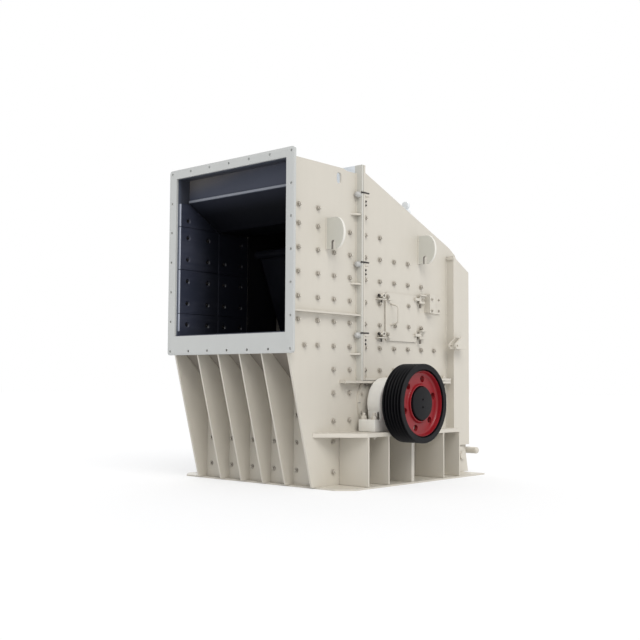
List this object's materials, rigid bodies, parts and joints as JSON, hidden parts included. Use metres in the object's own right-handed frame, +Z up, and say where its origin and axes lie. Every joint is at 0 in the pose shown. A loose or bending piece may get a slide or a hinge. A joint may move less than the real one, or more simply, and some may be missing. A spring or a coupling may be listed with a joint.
{
  "type": "impact crusher",
  "caption": "Horizontal-shaft stone crusher: tall framed feed inlet, grooved drive pulley, sloped rear housing that tilts back and a hinged side door on a flanged plate base.",
  "frame": {"origin": "on the machine's centre plane, on the underside of the base flange's front bar", "axes": "+X towards the side with the drive pulley and the inspection door, -Y the way the feed inlet faces, +Z up"},
  "size_m": [2.55, 2.9693, 3.15],
  "materials": {
    "ivory_paint": "satin ivory paint",
    "grey_ivory_paint": "satin grey ivory paint",
    "liner_steel": "dark wear plate, matt",
    "shaft_steel": "machined steel",
    "black_paint": "satin black paint",
    "red_paint": "glossy red paint"
  },
  "bodies": {
    "housing": {"base_flange": "ivory_paint", "side_plate_right": "ivory_paint", "side_plate_left": "ivory_paint", "front_wall": "ivory_paint", "feed_floor": "ivory_paint", "inlet_flange": "grey_ivory_paint", "front_roof": "ivory_paint", "split_flange_front": "ivory_paint", "lifting_ear_front_right": "ivory_paint", "lifting_ear_front_left": "ivory_paint", "bearing_shelf_right": "ivory_paint", "bearing_shelf_left": "ivory_paint", "bearing_housing_right": "ivory_paint", "bearing_housing_left": "ivory_paint", "shaft_seal_right": "ivory_paint", "shaft_seal_left": "ivory_paint", "rear_bracket_right": "ivory_paint", "rear_bracket_left": "ivory_paint", "rear_sill": "ivory_paint", "side_liner_right": "liner_steel", "side_liner_left": "liner_steel", "floor_liner": "liner_steel", "roof_liner": "liner_steel"},
    "rotor": {"rotor_shaft": "shaft_steel", "rotor_body": "liner_steel", "blow_bar_1": "shaft_steel", "blow_bar_2": "shaft_steel", "blow_bar_3": "shaft_steel", "blow_bar_4": "shaft_steel", "pulley": "black_paint", "pulley_web": "red_paint", "pulley_hub": "black_paint"},
    "rear_housing": {"rear_side_wall_right": "ivory_paint", "rear_side_wall_left": "ivory_paint", "rear_roof": "ivory_paint", "rear_wall": "ivory_paint", "split_flange_rear": "ivory_paint", "roof_cross_bar": "ivory_paint", "rear_column_right": "ivory_paint", "rear_column_left": "ivory_paint", "rear_cross_bar": "ivory_paint", "cylinder_clevis_right": "ivory_paint", "cylinder_clevis_left": "ivory_paint", "apron_front": "liner_steel", "apron_rear": "liner_steel", "door_hinge_lower": "ivory_paint", "door_hinge_upper": "ivory_paint", "door_cover_left": "ivory_paint", "door_switch_box": "ivory_paint", "lifting_ear_rear_right": "ivory_paint", "lifting_ear_rear_left": "ivory_paint"},
    "inspection_door": {"inspection_door": "ivory_paint", "door_handle": "ivory_paint"}
  },
  "joints": [
    {"name": "rotor_spin", "type": "hinge", "parent": "housing", "child": "rotor", "pos_m": [0, 0.8, 0.793], "axis": [1, 0, 0], "continuous": true},
    {"name": "rear_housing_tilt", "type": "hinge", "parent": "housing", "child": "rear_housing", "pos_m": [0, 2.22, 0.192], "axis": [-1, 0, 0], "range_deg": [0, 45]},
    {"name": "inspection_door_swing", "type": "hinge", "parent": "rear_housing", "child": "inspection_door", "pos_m": [0.823, 1.53, 1.6675], "axis": [0, 0, 1], "range_deg": [0, 110]}
  ]
}
